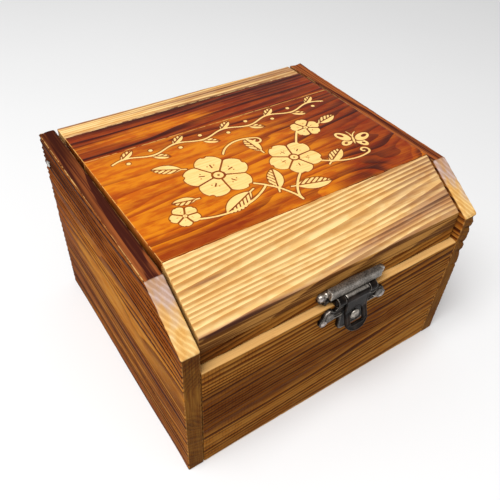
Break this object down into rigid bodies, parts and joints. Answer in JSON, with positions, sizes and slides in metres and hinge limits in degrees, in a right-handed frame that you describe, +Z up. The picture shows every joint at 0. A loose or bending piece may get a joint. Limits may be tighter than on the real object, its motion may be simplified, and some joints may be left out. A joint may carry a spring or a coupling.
{
  "type": "money box",
  "caption": "Wooden money box with bevelled side boards, a sloped lid that swings on two nails at the rear, and a small metal hasp at the front.",
  "frame": {"origin": "middle of the case's underside", "axes": "+X to the right along the box's width, -Y out of the front with the hasp, +Z up"},
  "size_m": [0.1512, 0.1397, 0.098],
  "materials": {
    "side_wood": "scorched, brushed and oiled softwood with raised dark grain and worn golden edges",
    "front_wood": "scorched, brushed and oiled softwood, mid brown with dark raised grain",
    "base_wood": "bare sanded softwood",
    "lacquered_wood": "scorched wood under a glossy orange lacquer, with a pale engraved ornament",
    "pale_wood": "pale brushed softwood with tan grain stripes",
    "bright_nail": "bright wire nail",
    "dark_hasp_metal": "blackened antique finish, worn grey on the raised edges",
    "hasp_nail_metal": "dark antique-finished nail heads"
  },
  "bodies": {
    "case": {"side_left": "side_wood", "side_right": "side_wood", "front_board": "front_wood", "back_board": "front_wood", "base_board": "base_wood", "pivot_nail_left": "bright_nail", "pivot_nail_right": "bright_nail", "hasp_lower_leaf": "dark_hasp_metal", "hasp_stud": "dark_hasp_metal", "hasp_lower_nails": "hasp_nail_metal"},
    "lid": {"lid_main_board": "lacquered_wood", "lid_rear_board": "lacquered_wood", "lid_slope_board": "pale_wood", "lid_lip_batten": "front_wood", "lid_rear_rail": "pale_wood", "hasp_upper_leaf": "dark_hasp_metal", "hasp_barrel_pin": "dark_hasp_metal", "hasp_upper_nails": "hasp_nail_metal"},
    "tongue": {"hasp_tongue": "dark_hasp_metal"}
  },
  "joints": [
    {"name": "lid_swing", "type": "hinge", "parent": "case", "child": "lid", "pos_m": [0, 0.059, 0.084], "axis": [-1, 0, 0], "range_deg": [0, 95]},
    {"name": "tongue_swing", "type": "hinge", "parent": "lid", "child": "tongue", "pos_m": [0.004, -0.0675, 0.06927], "axis": [-1, 0, 0], "range_deg": [0, 120]}
  ]
}
